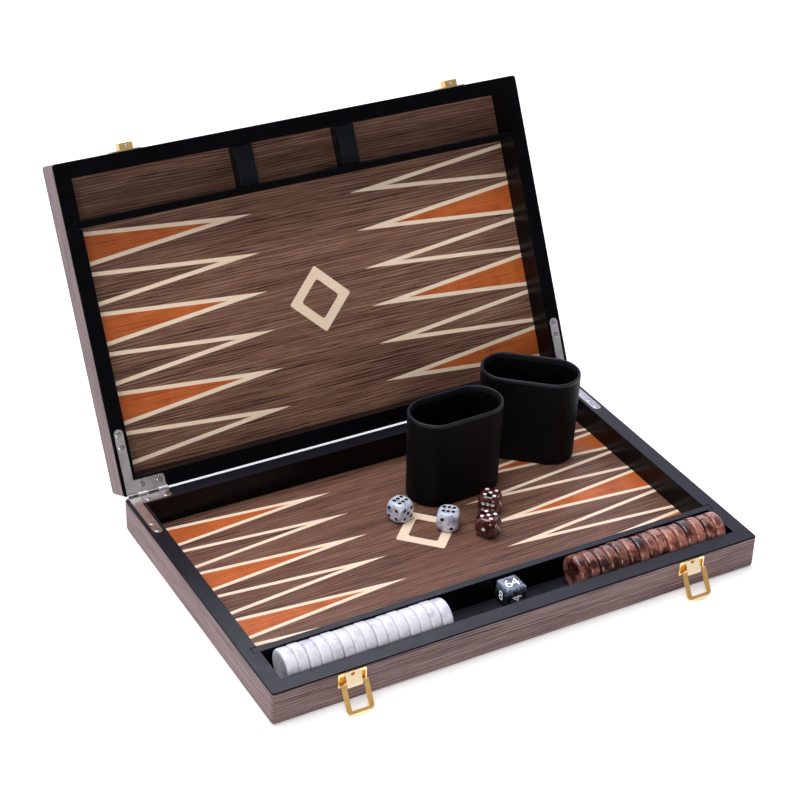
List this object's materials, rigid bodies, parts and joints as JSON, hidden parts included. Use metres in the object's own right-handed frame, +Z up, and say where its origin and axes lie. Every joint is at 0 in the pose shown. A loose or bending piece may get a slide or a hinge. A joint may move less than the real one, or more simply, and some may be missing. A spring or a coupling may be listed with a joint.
{
  "type": "backgammon set",
  "caption": "Hinged wooden backgammon case, open, with inlaid points, storage trough with checkers, dice, doubling cube, oval dice cups and drop latches.",
  "frame": {"origin": "centre of the underside of the base half", "axes": "+X along the front edge to the right, +Y from the latches towards the hinges, +Z up"},
  "size_m": [0.48, 0.4906, 0.3116],
  "materials": {
    "black_lacquer": "satin black lacquered wood",
    "dark_veneer": "satin dark brown straight-grained veneer",
    "board_veneer": "satin dark brown veneer with orange and maple inlaid points",
    "trough_black": "polished black lacquered wood",
    "nickel": "bright nickel-plated steel",
    "gold": "polished gold-plated brass",
    "pearl": "glossy marbled pearl white",
    "brown_marble": "glossy marbled red-brown and grey",
    "pearl_grey": "glossy bluish pearl with black pips",
    "dark_brown": "glossy dark red-brown with white pips",
    "cube_black": "glossy black and grey marble with white numerals",
    "leatherette": "fine-grained black leatherette"
  },
  "bodies": {
    "base": {"base_frame": "black_lacquer", "base_veneer": "dark_veneer", "base_board": "board_veneer", "base_rail": "black_lacquer", "trough_floor": "trough_black", "hinge_left_base_leaf": "nickel", "hinge_left_pin": "nickel", "hinge_right_base_leaf": "nickel", "hinge_right_pin": "nickel", "latch_left_plate": "gold", "latch_right_plate": "gold"},
    "lid": {"lid_frame": "black_lacquer", "lid_veneer": "dark_veneer", "lid_board": "board_veneer", "lid_rail": "black_lacquer", "lid_divider_left": "black_lacquer", "lid_divider_right": "black_lacquer", "hinge_left_lid_leaf": "nickel", "hinge_right_lid_leaf": "nickel", "latch_left_catch": "gold", "latch_right_catch": "gold"},
    "latch_left_bail": {"latch_left_bail": "gold"},
    "latch_right_bail": {"latch_right_bail": "gold"},
    "cup_1": {"cup_1": "leatherette"},
    "cup_2": {"cup_2": "leatherette"},
    "die_pearl_1": {"die_pearl_1": "pearl_grey"},
    "die_pearl_2": {"die_pearl_2": "pearl_grey"},
    "die_brown_1": {"die_brown_1": "dark_brown"},
    "die_brown_2": {"die_brown_2": "dark_brown"},
    "doubling_cube": {"doubling_cube": "cube_black"},
    "checker_pearl_01": {"checker_pearl_01": "pearl"},
    "checker_pearl_02": {"checker_pearl_02": "pearl"},
    "checker_pearl_03": {"checker_pearl_03": "pearl"},
    "checker_pearl_04": {"checker_pearl_04": "pearl"},
    "checker_pearl_05": {"checker_pearl_05": "pearl"},
    "checker_pearl_06": {"checker_pearl_06": "pearl"},
    "checker_pearl_07": {"checker_pearl_07": "pearl"},
    "checker_pearl_08": {"checker_pearl_08": "pearl"},
    "checker_pearl_09": {"checker_pearl_09": "pearl"},
    "checker_pearl_10": {"checker_pearl_10": "pearl"},
    "checker_pearl_11": {"checker_pearl_11": "pearl"},
    "checker_pearl_12": {"checker_pearl_12": "pearl"},
    "checker_pearl_13": {"checker_pearl_13": "pearl"},
    "checker_pearl_14": {"checker_pearl_14": "pearl"},
    "checker_pearl_15": {"checker_pearl_15": "pearl"},
    "checker_brown_01": {"checker_brown_01": "brown_marble"},
    "checker_brown_02": {"checker_brown_02": "brown_marble"},
    "checker_brown_03": {"checker_brown_03": "brown_marble"},
    "checker_brown_04": {"checker_brown_04": "brown_marble"},
    "checker_brown_05": {"checker_brown_05": "brown_marble"},
    "checker_brown_06": {"checker_brown_06": "brown_marble"},
    "checker_brown_07": {"checker_brown_07": "brown_marble"},
    "checker_brown_08": {"checker_brown_08": "brown_marble"},
    "checker_brown_09": {"checker_brown_09": "brown_marble"},
    "checker_brown_10": {"checker_brown_10": "brown_marble"},
    "checker_brown_11": {"checker_brown_11": "brown_marble"},
    "checker_brown_12": {"checker_brown_12": "brown_marble"},
    "checker_brown_13": {"checker_brown_13": "brown_marble"},
    "checker_brown_14": {"checker_brown_14": "brown_marble"},
    "checker_brown_15": {"checker_brown_15": "brown_marble"}
  },
  "joints": [
    {"name": "lid_hinge", "type": "hinge", "parent": "base", "child": "lid", "pos_m": [0, 0.1527, 0.0333], "axis": [-1, 0, 0], "range_deg": [-116.6, 0]},
    {"name": "latch_left", "type": "hinge", "parent": "base", "child": "latch_left_bail", "pos_m": [-0.1685, -0.1564, 0.022], "axis": [1, 0, 0], "range_deg": [-150, 0]},
    {"name": "latch_right", "type": "hinge", "parent": "base", "child": "latch_right_bail", "pos_m": [0.1685, -0.1564, 0.022], "axis": [1, 0, 0], "range_deg": [-150, 0]},
    {"name": "stow_cup_1", "type": "hinge", "parent": "base", "child": "cup_1", "pos_m": [0.00391, 0.02069, -0.01611], "axis": [0.5836, -0.5646, -0.5836], "range_deg": [0, 121.1]},
    {"name": "stow_cup_2", "type": "hinge", "parent": "base", "child": "cup_2", "pos_m": [0.11883, 0.05674, -0.01945], "axis": [0.334, -0.8436, -0.4204], "range_deg": [0, 102.4]},
    {"name": "gather_die_pearl_1", "type": "slide", "parent": "base", "child": "die_pearl_1", "axis": [0.0497, 0.9988, 0], "range_m": [0, 0.02013]},
    {"name": "gather_die_pearl_2", "type": "slide", "parent": "base", "child": "die_pearl_2", "axis": [-0.971, 0.2391, 0], "range_m": [0, 0.06942]},
    {"name": "gather_die_brown_1", "type": "slide", "parent": "base", "child": "die_brown_1", "axis": [0.0625, -0.998, 0], "range_m": [0, 0.07355]},
    {"name": "gather_die_brown_2", "type": "slide", "parent": "base", "child": "die_brown_2", "axis": [-0.9815, 0.1912, 0], "range_m": [0, 0.02354]},
    {"name": "lift_doubling_cube", "type": "slide", "parent": "base", "child": "doubling_cube", "axis": [0, 0, 1], "range_m": [0, 0.06]},
    {"name": "lift_checker_pearl_01", "type": "slide", "parent": "base", "child": "checker_pearl_01", "axis": [0, 0, 1], "range_m": [0, 0.06]},
    {"name": "lift_checker_pearl_02", "type": "slide", "parent": "base", "child": "checker_pearl_02", "axis": [0, 0, 1], "range_m": [0, 0.06]},
    {"name": "lift_checker_pearl_03", "type": "slide", "parent": "base", "child": "checker_pearl_03", "axis": [0, 0, 1], "range_m": [0, 0.06]},
    {"name": "lift_checker_pearl_04", "type": "slide", "parent": "base", "child": "checker_pearl_04", "axis": [0, 0, 1], "range_m": [0, 0.06]},
    {"name": "lift_checker_pearl_05", "type": "slide", "parent": "base", "child": "checker_pearl_05", "axis": [0, 0, 1], "range_m": [0, 0.06]},
    {"name": "lift_checker_pearl_06", "type": "slide", "parent": "base", "child": "checker_pearl_06", "axis": [0, 0, 1], "range_m": [0, 0.06]},
    {"name": "lift_checker_pearl_07", "type": "slide", "parent": "base", "child": "checker_pearl_07", "axis": [0, 0, 1], "range_m": [0, 0.06]},
    {"name": "lift_checker_pearl_08", "type": "slide", "parent": "base", "child": "checker_pearl_08", "axis": [0, 0, 1], "range_m": [0, 0.06]},
    {"name": "lift_checker_pearl_09", "type": "slide", "parent": "base", "child": "checker_pearl_09", "axis": [0, 0, 1], "range_m": [0, 0.06]},
    {"name": "lift_checker_pearl_10", "type": "slide", "parent": "base", "child": "checker_pearl_10", "axis": [0, 0, 1], "range_m": [0, 0.06]},
    {"name": "lift_checker_pearl_11", "type": "slide", "parent": "base", "child": "checker_pearl_11", "axis": [0, 0, 1], "range_m": [0, 0.06]},
    {"name": "lift_checker_pearl_12", "type": "slide", "parent": "base", "child": "checker_pearl_12", "axis": [0, 0, 1], "range_m": [0, 0.06]},
    {"name": "lift_checker_pearl_13", "type": "slide", "parent": "base", "child": "checker_pearl_13", "axis": [0, 0, 1], "range_m": [0, 0.06]},
    {"name": "lift_checker_pearl_14", "type": "slide", "parent": "base", "child": "checker_pearl_14", "axis": [0, 0, 1], "range_m": [0, 0.06]},
    {"name": "lift_checker_pearl_15", "type": "slide", "parent": "base", "child": "checker_pearl_15", "axis": [0, 0, 1], "range_m": [0, 0.06]},
    {"name": "lift_checker_brown_01", "type": "slide", "parent": "base", "child": "checker_brown_01", "axis": [0, 0, 1], "range_m": [0, 0.06]},
    {"name": "lift_checker_brown_02", "type": "slide", "parent": "base", "child": "checker_brown_02", "axis": [0, 0, 1], "range_m": [0, 0.06]},
    {"name": "lift_checker_brown_03", "type": "slide", "parent": "base", "child": "checker_brown_03", "axis": [0, 0, 1], "range_m": [0, 0.06]},
    {"name": "lift_checker_brown_04", "type": "slide", "parent": "base", "child": "checker_brown_04", "axis": [0, 0, 1], "range_m": [0, 0.06]},
    {"name": "lift_checker_brown_05", "type": "slide", "parent": "base", "child": "checker_brown_05", "axis": [0, 0, 1], "range_m": [0, 0.06]},
    {"name": "lift_checker_brown_06", "type": "slide", "parent": "base", "child": "checker_brown_06", "axis": [0, 0, 1], "range_m": [0, 0.06]},
    {"name": "lift_checker_brown_07", "type": "slide", "parent": "base", "child": "checker_brown_07", "axis": [0, 0, 1], "range_m": [0, 0.06]},
    {"name": "lift_checker_brown_08", "type": "slide", "parent": "base", "child": "checker_brown_08", "axis": [0, 0, 1], "range_m": [0, 0.06]},
    {"name": "lift_checker_brown_09", "type": "slide", "parent": "base", "child": "checker_brown_09", "axis": [0, 0, 1], "range_m": [0, 0.06]},
    {"name": "lift_checker_brown_10", "type": "slide", "parent": "base", "child": "checker_brown_10", "axis": [0, 0, 1], "range_m": [0, 0.06]},
    {"name": "lift_checker_brown_11", "type": "slide", "parent": "base", "child": "checker_brown_11", "axis": [0, 0, 1], "range_m": [0, 0.06]},
    {"name": "lift_checker_brown_12", "type": "slide", "parent": "base", "child": "checker_brown_12", "axis": [0, 0, 1], "range_m": [0, 0.06]},
    {"name": "lift_checker_brown_13", "type": "slide", "parent": "base", "child": "checker_brown_13", "axis": [0, 0, 1], "range_m": [0, 0.06]},
    {"name": "lift_checker_brown_14", "type": "slide", "parent": "base", "child": "checker_brown_14", "axis": [0, 0, 1], "range_m": [0, 0.06]},
    {"name": "lift_checker_brown_15", "type": "slide", "parent": "base", "child": "checker_brown_15", "axis": [0, 0, 1], "range_m": [0, 0.06]}
  ],
  "couplings": [
    {"joint": "stow_cup_1", "follows": "lid_hinge", "ratio": -1.0386},
    {"joint": "stow_cup_2", "follows": "lid_hinge", "ratio": -0.87817},
    {"joint": "gather_die_pearl_1", "follows": "lid_hinge", "m_per_rad": -0.0098891},
    {"joint": "gather_die_pearl_2", "follows": "lid_hinge", "m_per_rad": -0.034109},
    {"joint": "gather_die_brown_1", "follows": "lid_hinge", "m_per_rad": -0.036139},
    {"joint": "gather_die_brown_2", "follows": "lid_hinge", "m_per_rad": -0.011564}
  ]
}
